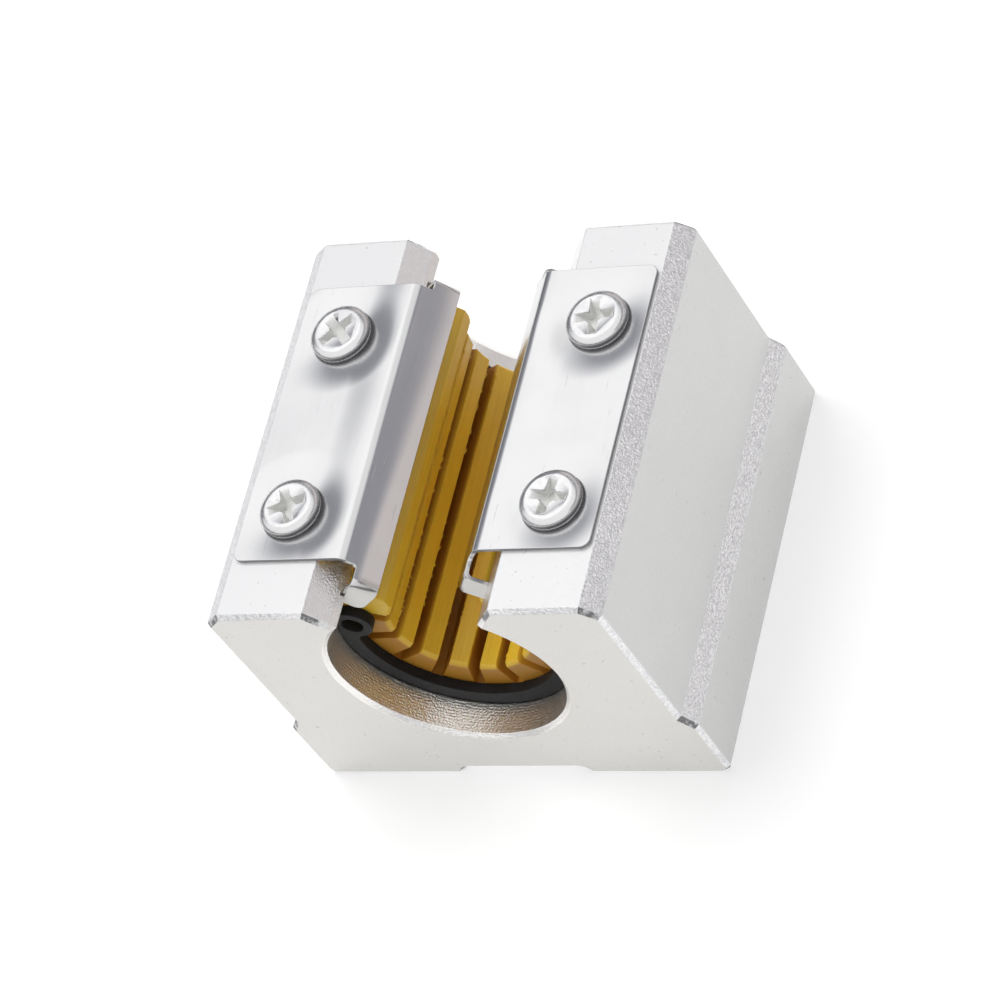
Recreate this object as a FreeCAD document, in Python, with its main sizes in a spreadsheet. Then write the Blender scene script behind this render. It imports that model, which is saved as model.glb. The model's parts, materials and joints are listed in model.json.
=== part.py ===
"""Open linear bearing block for a supported 12 mm round rail.

Frame: millimetres. The origin is on the axis of the bore, halfway along it. +Y runs along the
bore, +Z points out of the slot, and the mounting face looks down, towards -Z.
"""
import FreeCAD, Part
import Sketcher
import math
import os

from FreeCAD import Placement, Rotation, Vector

# ---------------------------------------------------------------- driving dimensions
SIZES = {
    # extruded housing
    "block_width": 40.0,           # across the mounting flange
    "block_length": 39.0,          # along the bore
    "axis_height": 17.0,           # mounting face to bore axis
    "leg_height": 10.6,            # bore axis to the top of the legs
    "flange_step": 1.05,           # the body stands back this far from the flange's edge
    "flange_edge": 7.9,            # upright edge of the mounting flange
    "flange_slope": 1.5,           # height of the slanted step above that edge
    "leg_bevel_width": 1.6,
    "leg_bevel_height": 1.35,
    "bore_diameter": 21.0,
    "slot_half_angle": 40.0,       # slot wall from the upright, both sides
    "end_bevel": 0.4,              # sawn ends, all round
    "rear_mouth_bevel": 0.8,       # lead-in at the rear mouth of the bore
    "foot_round": 1.0,             # lower corners of the flange
    "relief_width": 12.6,          # relief along the mounting face
    "relief_depth": 1.0,
    # mounting holes, tapped M5 from below
    "bolt_spacing_x": 28.0,
    "bolt_spacing_y": 26.0,
    "bolt_hole": 4.2,
    "bolt_depth": 10.0,
    # polymer liner
    "shaft_diameter": 12.0,
    "shaft_clearance": 0.04,       # on the diameter
    "liner_inset": 4.5,            # end of the liner inside the end of the block
    "liner_fit": 0.06,             # liner in the bore, on the diameter
    "liner_slot_play": 1.0,        # degrees that the liner's slot face stands back from the wall
    "liner_slot_bevel": 0.9,       # inner edges of the slot faces
    "liner_mouth_bevel": 0.3,      # ends of the running surface
    "liner_end_bevel": 0.35,       # outer edge of both ends
    "land_count": 11.0,            # running lands
    "land_pitch": 25.0,            # degrees from one land to the next
    "channel_width": 1.05,         # channel between two lands
    "channel_wall": 1.17,          # left between a channel's floor and the bore
    "channel_round": 0.25,
    # retaining rings
    "ring_thickness": 1.0,
    "ring_play": 0.05,             # ring to liner, and ring to groove, along the bore
    "groove_depth": 0.5,
    "ring_seat_play": 0.05,        # ring to the floor of its groove, radial
    "ring_back_width": 2.15,       # radial, opposite the lugs
    "ring_shift": 0.15,            # the inner edge is this far off centre
    "lug_angle": 69.8,             # lug eye from the upright
    "lug_radius": 1.82,
    "lug_eye": 2.0,
    "lug_fillet": 0.6,
    # sheet retainers
    "sheet": 0.4,
    "plate_inset": 1.85,           # outer edge of the flange inside the side of the body
    "plate_set_back": 0.93,        # end of the flange inside the end of the liner
    "plate_corner": 0.9,
    "fold_radius": 0.9,            # inside radius of the fold onto the leg
    "web_standoff": 2.2,           # face of the web from the slot wall
    "tab_clear": 0.1,              # top of a tab inside the ring groove, radial
    "tab_height": 2.48,            # lowest part of the web, which runs on into the tabs
    "tab_overlap": 1.35,           # end of a tab past the slot wall, in front of the liner
    "tab_fold_radius": 0.35,       # inside
    "tab_corner": 0.9,
    "front_tab_gap": 0.63,         # tab to the end of the liner, with the retainer centred
    "rear_tab_gap": 0.05,
    "notch_round": 0.3,
    "right_retainer_slip": 0.5,    # the retainers sit this far back in their screw holes
    "left_retainer_slip": 0.07,
    # screws
    "screw_edge": 4.5,             # screw to the outer edge of the flange
    "screw_spacing_y": 18.0,
    "screw_clearance_hole": 3.6,
    "screw_tap_hole": 2.5,
    "screw_tap_spare": 1.0,        # the tapped hole is this much deeper than the screw
    "screw_fit": 0.1,              # thread core in the tapped hole, on the diameter
    "screw_length": 5.0,           # under the head
    "screw_point": 0.4,
    "head_diameter": 5.6,
    "head_height": 0.9,
    "head_crown": 0.18,            # domed part of the head
    "head_rim": 0.25,              # bevelled rim
    "cross_span": 3.8,
    "cross_foot_span": 1.7,        # the ends of the arms slope down to this span
    "cross_width": 0.95,
    "cross_depth": 1.2,
    "cross_core": 1.7,             # diameter of the conical middle, at its mouth
}

# lengths that follow from the sizes above
BODY_HALF = "(block_width / 2 - flange_step)"
LINER_HALF = "(block_length / 2 - liner_inset)"
GROOVE_RADIUS = "(bore_diameter / 2 + groove_depth)"
PLATE_OUTER = f"({BODY_HALF} - plate_inset)"
PLATE_HALF = f"({LINER_HALF} - plate_set_back)"
SCREW_X = f"({PLATE_OUTER} - screw_edge)"
WEB_FOOT = f"({GROOVE_RADIUS} - tab_clear - tab_height)"     # from the bore axis, along the slot wall

DRILL_POINT = 118.0                                   # degrees

# name, side of the block, end of the block, turn of the cross in degrees
SCREWS = (
    ("screw_left_front", -1, -1, 23.0),
    ("screw_left_rear", -1, 1, 45.0),
    ("screw_right_front", 1, -1, -7.5),
    ("screw_right_rear", 1, 1, 8.0),
)

doc = FreeCAD.newDocument("linear_bearing_block")
sheet = doc.addObject("Spreadsheet::Sheet", "Sizes")
for row, (alias, size) in enumerate(SIZES.items(), start=1):
    sheet.set(f"A{row}", alias)
    sheet.set(f"B{row}", str(size))
    sheet.setAlias(f"B{row}", alias)
doc.recompute()
probe = doc.addObject("App::FeaturePython", "Probe")   # works out expressions for first guesses


def cells(expression):
    """Writes each size's name as a reference to its cell."""
    words = []
    word = ""
    for letter in expression + " ":
        if letter.isalnum() or letter == "_":
            word += letter
            continue
        words.append(f"Sizes.{word}" if word in SIZES else word)
        words.append(letter)
        word = ""
    return "".join(words).strip()


def number(expression):
    """Value of an expression in the sizes."""
    result = probe.evalExpression(cells(expression))
    return float(getattr(result, "Value", result))


def bind(item, prop, expression):
    item.setExpression(prop, cells(expression))


# ---------------------------------------------------------------- sketch helpers
def new_body(name):
    body = doc.addObject("PartDesign::Body", name)
    body.Label = name
    return body


def origin_item(body, role):
    return next(item for item in body.Origin.OriginFeatures if item.Role == role)


def new_sketch(body, name, plane, height=None):
    """Sketch on an origin plane of its own body, lifted along the plane's normal if asked."""
    sketch = body.newObject("Sketcher::SketchObject", name)
    sketch.AttachmentSupport = [(origin_item(body, plane), "")]
    sketch.MapMode = "FlatFace"
    if height:
        bind(sketch, "AttachmentOffset.Base.z", height)
    return sketch


def tie_corner(sketch, element, vertex, across, up):
    """Ties a point to the sizes. An empty expression leaves that direction free."""
    for kind, expression, axis in (("DistanceX", across, -2), ("DistanceY", up, -1)):
        if not expression:
            continue
        amount = number(expression)
        if abs(amount) < 1e-9:
            sketch.addConstraint(Sketcher.Constraint("PointOnObject", element, vertex, axis))
            continue
        ends = (-1, 1, element, vertex) if amount > 0 else (element, vertex, -1, 1)
        index = sketch.addConstraint(Sketcher.Constraint(kind, *ends, abs(amount)))
        sign = 1 if amount > 0 else -1
        bind(sketch, f"Constraints[{index}]", f"{sign} * ({expression})")


def draw_circle(sketch, across, up, radius):
    centre = Vector(number(across), number(up), 0)
    element = sketch.addGeometry(Part.Circle(centre, Vector(0, 0, 1), number(radius)))
    tie_corner(sketch, element, 3, across, up)
    index = sketch.addConstraint(Sketcher.Constraint("Radius", element, number(radius)))
    bind(sketch, f"Constraints[{index}]", radius)


def draw_outline(sketch, corners, arcs=None):
    """Closed outline. Corners are (across, up) expressions, arcs maps the number of a corner to
    (centre across, centre up, turn) for the arc that leaves it, turn being +1 or -1."""
    arcs = arcs or {}
    points = [Vector(number(across), number(up), 0) for across, up in corners]
    ends = []
    for place, point in enumerate(points):
        target = points[(place + 1) % len(points)]
        if place not in arcs:
            ends.append((sketch.addGeometry(Part.LineSegment(point, target)), 1, 2))
            continue
        across, up, turn = arcs[place]
        centre = Vector(number(across), number(up), 0)
        first, last = (point, target) if turn > 0 else (target, point)
        begin = math.atan2(first.y - centre.y, first.x - centre.x)
        finish = math.atan2(last.y - centre.y, last.x - centre.x)
        if finish <= begin:
            finish += 2 * math.pi
        circle = Part.Circle(centre, Vector(0, 0, 1), (point - centre).Length)
        element = sketch.addGeometry(Part.ArcOfCircle(circle, begin, finish))
        ends.append((element, 1, 2) if turn > 0 else (element, 2, 1))
        tie_corner(sketch, element, 3, across, up)
    for place, (element, _, last) in enumerate(ends):
        following, first, _ = ends[(place + 1) % len(ends)]
        sketch.addConstraint(Sketcher.Constraint("Coincident", element, last, following, first))
    for place, (across, up) in enumerate(corners):
        element, first, _ = ends[place]
        closes_arc = (place - 1) % len(corners) in arcs
        if closes_arc:
            # the arc already holds this corner at its radius, so one direction is enough
            centre = arcs[(place - 1) % len(corners)]
            steep = abs(points[place].x - number(centre[0])) > abs(points[place].y - number(centre[1]))
            tie_corner(sketch, element, first, "" if steep else across, up if steep else "")
        else:
            tie_corner(sketch, element, first, across, up)


# ---------------------------------------------------------------- feature helpers
def add_feature(body, kind, name, **settings):
    feature = body.newObject(f"PartDesign::{kind}", name)
    for prop, setting in settings.items():
        setattr(feature, prop, setting)
    body.Tip = feature
    return feature


def pad_both_ways(body, name, sketch, length):
    pad = add_feature(body, "Pad", name, Profile=sketch, SideType="Symmetric")
    bind(pad, "Length", length)
    sketch.Visibility = False
    return pad


def check_cut(feature, before):
    """A cut that points away from the solid removes nothing and shows no error."""
    doc.recompute()
    if not feature.Shape.Volume < before - 1e-6:
        raise RuntimeError(f"{feature.Name} cuts nothing")


def edges_where(feature, test):
    """Names of the edges whose two ends and middle all pass the test."""
    found = []
    for place, edge in enumerate(feature.Shape.Edges, start=1):
        middle = edge.valueAt((edge.FirstParameter + edge.LastParameter) / 2)
        if all(test(point) for point in [middle] + [vertex.Point for vertex in edge.Vertexes]):
            found.append(f"Edge{place}")
    if not found:
        raise RuntimeError(f"no edge of {feature.Name} passes the test")
    return found


def near(value, target, slack=1e-4):
    return abs(value - target) < slack


def round_edges(body, feature, name, radius, test):
    rounds = add_feature(body, "Fillet", name)
    rounds.Base = (feature, edges_where(feature, test))
    bind(rounds, "Radius", radius)
    doc.recompute()
    return rounds


# ---------------------------------------------------------------- housing
def make_housing():
    body = new_body("housing")
    top = "leg_height"
    floor = "-axis_height"
    ledge = "-axis_height + flange_edge"
    shoulder = "-axis_height + flange_edge + flange_slope"
    slot = "leg_height * tan(slot_half_angle * 1deg)"
    lip_x = "bore_diameter / 2 * sin(slot_half_angle * 1deg)"
    lip_z = "bore_diameter / 2 * cos(slot_half_angle * 1deg)"
    relief = "relief_width / 2"
    relief_flat = "relief_width / 2 - relief_depth"
    relief_top = "-axis_height + relief_depth"
    right = [
        (relief, floor),
        ("block_width / 2", floor),
        ("block_width / 2", ledge),
        (BODY_HALF, shoulder),
        (BODY_HALF, "leg_height - leg_bevel_height"),
        (f"{BODY_HALF} - leg_bevel_width", top),
        (slot, top),
        (lip_x, lip_z),
    ]
    left = [(f"-({across})", up) for across, up in reversed(right)]
    corners = right + left + [(f"-({relief_flat})", relief_top), (relief_flat, relief_top)]
    arcs = {
        len(right) - 1: ("0", "0", -1),
        len(right) + len(left) - 1: (f"-({relief_flat})", floor, -1),
        len(corners) - 1: (relief_flat, floor, -1),
    }
    section = new_sketch(body, "HousingSection", "XZ_Plane")
    draw_outline(section, corners, arcs)
    extrusion = pad_both_ways(body, "Extrusion", section, "block_length")
    doc.recompute()

    half_width = number("block_width / 2")
    foot = number(floor)
    rounds = round_edges(body, extrusion, "FootRounds", "foot_round",
                         lambda p: near(abs(p.x), half_width) and near(p.z, foot))

    half_length = number("block_length / 2")
    bevel = add_feature(body, "Chamfer", "EndBevels")
    bevel.Base = (rounds, edges_where(rounds, lambda p: near(abs(p.y), half_length)))
    bind(bevel, "Size", "end_bevel")
    doc.recompute()

    before = bevel.Shape.Volume
    seat = new_sketch(body, "RingSeatSection", "YZ_Plane")
    inside = "bore_diameter / 2 - groove_depth"
    far_end = f"{LINER_HALF} + ring_thickness + 2 * ring_play"
    draw_outline(seat, [
        (LINER_HALF, inside), (far_end, inside), (far_end, GROOVE_RADIUS), (LINER_HALF, GROOVE_RADIUS),
    ])
    groove = add_feature(body, "Groove", "RingSeat", Profile=seat,
                         ReferenceAxis=(seat, ["H_Axis"]), Angle=360)
    check_cut(groove, before)
    before = groove.Shape.Volume
    pair = add_feature(body, "Mirrored", "RingSeats", Originals=[groove])
    pair.MirrorPlane = (origin_item(body, "XZ_Plane"), [""])
    check_cut(pair, before)

    before = pair.Shape.Volume
    end = "block_length / 2"
    wall = "bore_diameter / 2"
    lead_in = new_sketch(body, "RearMouthSection", "YZ_Plane")
    draw_outline(lead_in, [
        (f"{end} - rear_mouth_bevel", inside), (end, inside), (end, f"{wall} + rear_mouth_bevel"),
        (f"{end} - rear_mouth_bevel", wall),
    ])
    mouth = add_feature(body, "Groove", "RearMouth", Profile=lead_in,
                        ReferenceAxis=(lead_in, ["H_Axis"]), Angle=360)
    check_cut(mouth, before)

    drill(body, "ScrewHoles", "leg_height", SCREW_X, "screw_spacing_y / 2", "screw_tap_hole",
          "screw_length - sheet + screw_tap_spare", False)
    drill(body, "MountingHoles", "-axis_height", "bolt_spacing_x / 2", "bolt_spacing_y / 2", "bolt_hole",
          "bolt_depth", True)
    return body


def drill(body, name, height, across, along, diameter, depth, from_below):
    """Four blind holes with a drill point, one in each quarter of the block."""
    before = body.Tip.Shape.Volume
    plan = new_sketch(body, name + "Plan", "XY_Plane", height)
    for side in ("", "-"):
        for end in ("", "-"):
            draw_circle(plan, f"{side}({across})", f"{end}({along})", f"{diameter} / 2")
    doc.recompute()
    hole = add_feature(body, "Hole", name, Profile=plan)
    doc.recompute()
    hole.ThreadType = "None"
    hole.DepthType = "Dimension"
    hole.DrillPoint = "Angled"
    hole.DrillPointAngle = DRILL_POINT
    hole.DrillForDepth = False
    hole.Reversed = from_below
    bind(hole, "Diameter", diameter)
    bind(hole, "Depth", depth)
    check_cut(hole, before)


# ---------------------------------------------------------------- polymer liner
def make_liner():
    """A C-shaped sleeve: its half section is swung about the bore, and the channels between the
    running lands are cut one beside the other."""
    body = new_body("polymer_liner")
    section = new_sketch(body, "LinerSection", "YZ_Plane")
    inner = "-(shaft_diameter + shaft_clearance) / 2"
    outer = "-(bore_diameter - liner_fit) / 2"
    draw_outline(section, [
        (f"-{LINER_HALF}", f"{inner} - liner_mouth_bevel"),
        (f"-{LINER_HALF}", f"{outer} + liner_end_bevel"),
        (f"-{LINER_HALF} + liner_end_bevel", outer),
        (f"{LINER_HALF} - liner_end_bevel", outer),
        (LINER_HALF, f"{outer} + liner_end_bevel"),
        (LINER_HALF, f"{inner} - liner_mouth_bevel"),
        (f"{LINER_HALF} - liner_mouth_bevel", inner),
        (f"-{LINER_HALF} + liner_mouth_bevel", inner),
    ])
    sleeve = add_feature(body, "Revolution", "Sleeve", Profile=section,
                         ReferenceAxis=(section, ["H_Axis"]), Midplane=True)
    bind(sleeve, "Angle", "360 - 2 * (slot_half_angle + liner_slot_play)")
    doc.recompute()

    # the long inner edges of the two slot faces are bevelled, so that the rail slides in between
    inner_radius = abs(number(inner))
    bevels = add_feature(body, "Chamfer", "SlotBevels")
    bevels.Base = (sleeve, edges_where(sleeve, lambda p: (
        near(math.hypot(p.x, p.z), inner_radius) and p.z > 0)))
    bind(bevels, "Size", "liner_slot_bevel")
    doc.recompute()

    # first channel: beside the end land on one side
    before = bevels.Shape.Volume
    plan = body.newObject("Sketcher::SketchObject", "ChannelSection")
    plan.AttachmentSupport = [(origin_item(body, "XZ_Plane"), "")]
    plan.MapMode = "FlatFace"
    plan.AttachmentOffset = Placement(Vector(), Rotation(Vector(0, 0, 1), 0))
    bind(plan, "AttachmentOffset.Rotation.Angle", "(land_count - 2) / 2 * land_pitch * 1deg")
    side = "channel_width / 2"
    corner = "channel_width / 2 - channel_round"
    floor = "-bore_diameter / 2 + channel_wall"
    shallow = f"{floor} + channel_round"
    mouth = "-shaft_diameter / 2 + channel_width"
    draw_outline(plan, [
        (f"-({side})", mouth), (f"-({side})", shallow), (f"-({corner})", floor),
        (corner, floor), (side, shallow), (side, mouth),
    ], {1: (f"-({corner})", shallow, 1), 3: (corner, shallow, 1)})
    channel = add_feature(body, "Pocket", "Channel", Profile=plan, SideType="Symmetric")
    bind(channel, "Length", "block_length")
    check_cut(channel, before)
    before = channel.Shape.Volume
    channels = add_feature(body, "PolarPattern", "Channels", Originals=[channel])
    channels.Axis = (origin_item(body, "Y_Axis"), [""])
    bind(channels, "Occurrences", "land_count - 1")
    bind(channels, "Angle", "(land_count - 2) * land_pitch")
    check_cut(channels, before)
    return body


# ---------------------------------------------------------------- retaining rings
def make_ring(name, end):
    """Internal retaining ring, lying in its seat just outside one end of the liner."""
    body = new_body(name)
    outer = f"({GROOVE_RADIUS} - ring_seat_play)"
    inner = f"({outer} - ring_back_width + ring_shift)"
    eye_radius = f"({outer} - lug_radius)"
    sine = "sin(lug_angle * 1deg)"
    cosine = "cos(lug_angle * 1deg)"
    # where the radial line through a lug's eye meets the inner edge, which is shifted upwards
    inner_reach = f"(ring_shift * {cosine} + sqrt(pow({inner}; 2) - pow(ring_shift * {sine}; 2)))"
    band = new_sketch(body, name + "_band", "XZ_Plane")
    draw_outline(band, [
        (f"{outer} * {sine}", f"{outer} * {cosine}"),
        (f"-{outer} * {sine}", f"{outer} * {cosine}"),
        (f"-{inner_reach} * {sine}", f"{inner_reach} * {cosine}"),
        (f"{inner_reach} * {sine}", f"{inner_reach} * {cosine}"),
    ], {0: ("0", "0", -1), 2: ("0", "ring_shift", 1)})
    strip = pad_both_ways(body, name + "_strip", band, "ring_thickness")
    lugs = new_sketch(body, name + "_lug_plan", "XZ_Plane")
    for side in ("", "-"):
        draw_circle(lugs, f"{side}{eye_radius} * {sine}", f"{eye_radius} * {cosine}", "lug_radius")
    pad_both_ways(body, name + "_lugs", lugs, "ring_thickness")
    doc.recompute()

    before = body.Tip.Shape.Volume
    eyes = new_sketch(body, name + "_eye_plan", "XZ_Plane")
    for side in ("", "-"):
        draw_circle(eyes, f"{side}{eye_radius} * {sine}", f"{eye_radius} * {cosine}", "lug_eye / 2")
    pierce = add_feature(body, "Pocket", name + "_eyes", Profile=eyes, SideType="Symmetric")
    bind(pierce, "Length", "2 * ring_thickness")
    check_cut(pierce, before)

    # the lugs run into the band through a fillet, at the end of its inner edge
    inner_radius = number(inner)
    shift = number("ring_shift")
    boss = number("lug_radius")
    eye = Vector(number(f"{eye_radius} * {sine}"), 0, number(f"{eye_radius} * {cosine}"))
    round_edges(body, pierce, name + "_throats", "lug_fillet", lambda p: (
        near(math.hypot(p.x, p.z - shift), inner_radius)
        and near(math.hypot(abs(p.x) - eye.x, p.z - eye.z), boss)))
    bind(body, "Placement.Base.y", f"{end} * ({LINER_HALF} + ring_play + ring_thickness / 2)")
    return body


# ---------------------------------------------------------------- retainers
def make_retainer(name, turned):
    """Folded sheet: a flange on the leg, a fold into the slot and a web that stands off the slot
    wall. At both ends the web carries a tab, folded out over the end of the liner. The left one
    is drawn turned half round, with its front and rear tabs swapped, so the two mirror each other."""
    body = new_body(name)
    lean = "slot_half_angle * 1deg"
    top = "(leg_height + sheet)"
    # the web's face is a line parallel to the slot wall: it meets the flange's top at fold_x
    fold_x = f"(({top} * sin({lean}) - web_standoff) / cos({lean}))"
    turn_tan = "tan((90deg - slot_half_angle * 1deg) / 2)"
    outer_radius = "(fold_radius + sheet)"
    start_x = f"({fold_x} + {outer_radius} * {turn_tan})"
    bend_z = f"({top} - {outer_radius})"
    face_x = f"({start_x} - {outer_radius} * cos({lean}))"
    face_z = f"({bend_z} + {outer_radius} * sin({lean}))"
    back_x = f"({start_x} - fold_radius * cos({lean}))"
    back_z = f"({bend_z} + fold_radius * sin({lean}))"
    web_fall = f"({face_x} * sin({lean}) + {face_z} * cos({lean}) - {WEB_FOOT})"
    drop_x = f"({web_fall} * sin({lean}))"
    drop_z = f"({web_fall} * cos({lean}))"
    section = new_sketch(body, name + "_section", "XZ_Plane")
    draw_outline(section, [
        (PLATE_OUTER, "leg_height"),
        (PLATE_OUTER, top),
        (start_x, top),
        (face_x, face_z),
        (f"{face_x} - {drop_x}", f"{face_z} - {drop_z}"),
        (f"{back_x} - {drop_x}", f"{back_z} - {drop_z}"),
        (back_x, back_z),
        (start_x, "leg_height"),
    ], {2: (start_x, bend_z, 1), 6: (start_x, bend_z, -1)})
    sheet_pad = pad_both_ways(body, name + "_sheet", section, f"2 * {PLATE_HALF}")
    doc.recompute()

    # the lower strip of the web runs on past the flange and turns out at both ends: it is drawn
    # as seen along the fall of the web, and stands up from the web's lower edge
    strip = body.newObject("Sketcher::SketchObject", name + "_strip_plan")
    strip.AttachmentSupport = [(origin_item(body, "XY_Plane"), "")]
    strip.MapMode = "FlatFace"
    strip.AttachmentOffset = Placement(Vector(), Rotation(Vector(0, 1, 0), 0))
    bind(strip, "AttachmentOffset.Rotation.Angle", "slot_half_angle * 1deg")
    bind(strip, "AttachmentOffset.Base.x", f"{face_x} - {drop_x}")
    bind(strip, "AttachmentOffset.Base.z", f"{face_z} - {drop_z}")
    front = f"({LINER_HALF} + front_tab_gap + sheet)"
    rear = f"({LINER_HALF} + rear_tab_gap + sheet)"
    upper, lower = (front, rear) if turned else (rear, front)
    reach = "(web_standoff + tab_overlap)"
    bend = "(tab_fold_radius + sheet)"
    draw_outline(strip, [
        (reach, f"{upper} - sheet"),
        (reach, upper),
        (bend, upper),
        ("0", f"{upper} - {bend}"),
        ("0", f"-({lower} - {bend})"),
        (bend, f"-({lower})"),
        (reach, f"-({lower})"),
        (reach, f"-({lower} - sheet)"),
        (bend, f"-({lower} - sheet)"),
        ("sheet", f"-({lower} - {bend})"),
        ("sheet", f"{upper} - {bend}"),
        (bend, f"{upper} - sheet"),
    ], {
        2: (bend, f"{upper} - {bend}", 1),
        4: (bend, f"-({lower} - {bend})", 1),
        8: (bend, f"-({lower} - {bend})", -1),
        10: (bend, f"{upper} - {bend}", -1),
    })
    before = sheet_pad.Shape.Volume
    folded = add_feature(body, "Pad", name + "_tabs", Profile=strip)
    bind(folded, "Length", "tab_height")
    doc.recompute()
    if folded.Shape.Volume < before + 1e-6 or len(folded.Shape.Solids) != 1:
        raise RuntimeError("the tabs do not join the sheet")

    holes = new_sketch(body, name + "_hole_plan", "XY_Plane", "leg_height")
    for sign in ("", "-"):
        draw_circle(holes, SCREW_X, f"{sign}screw_spacing_y / 2", "screw_clearance_hole / 2")
    pierce = add_feature(body, "Pocket", name + "_holes", Profile=holes, SideType="Symmetric")
    bind(pierce, "Length", "4 * sheet")
    check_cut(pierce, folded.Shape.Volume)

    angle = math.radians(number("slot_half_angle"))
    fall = Vector(-math.sin(angle), 0, -math.cos(angle))
    outward = Vector(math.cos(angle), 0, -math.sin(angle))
    face = Vector(number(face_x), 0, number(face_z))
    tab_end = face.dot(outward) + number(reach)
    tab_low = -number(WEB_FOOT)
    tab_top = -number(f"{WEB_FOOT} + tab_height")
    outer = number(PLATE_OUTER)
    half_length = number(PLATE_HALF)
    rounded = round_edges(body, pierce, name + "_corners", "plate_corner",
                          lambda p: near(p.x, outer) and near(abs(p.y), half_length))
    rounded = round_edges(body, rounded, name + "_notches", "notch_round",
                          lambda p: near(abs(p.y), half_length) and near(p.dot(fall), tab_top))
    round_edges(body, rounded, name + "_tab_tips", "tab_corner", lambda p: (
        near(p.dot(outward), tab_end) and (near(p.dot(fall), tab_low) or near(p.dot(fall), tab_top))))
    body.Placement = Placement(Vector(), Rotation(Vector(0, 0, 1), 180.0 if turned else 0.0))
    bind(body, "Placement.Base.y", "left_retainer_slip" if turned else "right_retainer_slip")
    return body


# ---------------------------------------------------------------- screws
def make_screw(name, side, end, turn):
    """Low pan-head screw with a cross recess, seated on a retainer and in a leg of the housing."""
    body = new_body(name)
    profile = new_sketch(body, name + "_profile", "XZ_Plane")
    core = "(screw_tap_hole - screw_fit) / 2"
    rim = "(head_height - head_crown - head_rim)"
    draw_outline(profile, [
        ("0", "-screw_length"),
        (f"{core} - screw_point", "-screw_length"),
        (core, "-screw_length + screw_point"),
        (core, "0"),
        ("head_diameter / 2", "0"),
        ("head_diameter / 2", rim),
        ("head_diameter / 2 - head_rim", f"{rim} + head_rim"),
        ("head_diameter / 2 - 3 * head_rim", "head_height"),
        ("0", "head_height"),
    ])
    add_feature(body, "Revolution", name + "_turned", Profile=profile,
                ReferenceAxis=(profile, ["V_Axis"]), Angle=360)
    doc.recompute()
    # cross recess: two slots with sloping ends, and a conical middle where the driver centres
    foot = "head_height - cross_depth"
    for axis, plane in (("x", "XZ_Plane"), ("y", "YZ_Plane")):
        before = body.Tip.Shape.Volume
        slot = new_sketch(body, f"{name}_slot_{axis}_section", plane)
        draw_outline(slot, [
            ("-cross_span / 2", "head_height"),
            ("-cross_foot_span / 2", foot),
            ("cross_foot_span / 2", foot),
            ("cross_span / 2", "head_height"),
        ])
        arms = add_feature(body, "Pocket", f"{name}_slot_{axis}", Profile=slot, SideType="Symmetric")
        bind(arms, "Length", "cross_width")
        check_cut(arms, before)
    before = body.Tip.Shape.Volume
    cone = new_sketch(body, name + "_core_section", "XZ_Plane")
    draw_outline(cone, [("0", foot), ("cross_core / 2", "head_height"), ("0", "head_height")])
    middle = add_feature(body, "Groove", name + "_core", Profile=cone,
                         ReferenceAxis=(cone, ["V_Axis"]), Angle=360)
    check_cut(middle, before)
    bind(body, "Placement.Base.x", f"{side} * {SCREW_X}")
    bind(body, "Placement.Base.y", f"{end} * screw_spacing_y / 2")
    bind(body, "Placement.Base.z", "leg_height + sheet")
    bind(body, "Placement.Rotation.Angle", f"{turn} * 1deg")
    return body


# ---------------------------------------------------------------- build, check, write
parts = [
    make_housing(),
    make_liner(),
    make_ring("front_retaining_ring", -1),
    make_ring("rear_retaining_ring", 1),
    make_retainer("right_retainer", False),
    make_retainer("left_retainer", True),
]
for name, side, end, turn in SCREWS:
    parts.append(make_screw(name, side, end, turn))
doc.recompute()

for item in doc.Objects:
    if "Invalid" in item.State or "Error" in item.State:
        raise RuntimeError(f"{item.Name} did not compute: {item.State}")
for part in parts:
    if part.Shape.isNull() or not part.Shape.isValid() or len(part.Shape.Solids) != 1:
        raise RuntimeError(f"{part.Label} is not one valid solid")

os.makedirs("parts", exist_ok=True)
for part in parts:
    part.Shape.exportStep(f"parts/{part.Label}.step")
    box = part.Shape.BoundBox
    print(f"{part.Label:22s} {part.Shape.Volume:9.1f} mm3  x {box.XMin:6.2f} {box.XMax:6.2f}"
          f"  y {box.YMin:6.2f} {box.YMax:6.2f}  z {box.ZMin:6.2f} {box.ZMax:6.2f}")
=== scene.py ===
# %% [markdown]
# # An open linear bearing block
#
# The real object is a block of extruded aluminium with a slotted bore. A yellow polymer liner
# sits in the bore, held by a black retaining ring at each end and by two folded strips of
# stainless steel, which are screwed down on the legs. This lesson loads the block as it was
# drawn in CAD, gives every piece its finish, adds what a drawing leaves out, and sets up a
# small studio. The order is frame, helpers, finishes, finished pieces, floor and light, camera.

# %% Load the frame
import json
import math
import random

import bmesh
import bpy
from mathutils import Euler, Matrix, Vector


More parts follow.
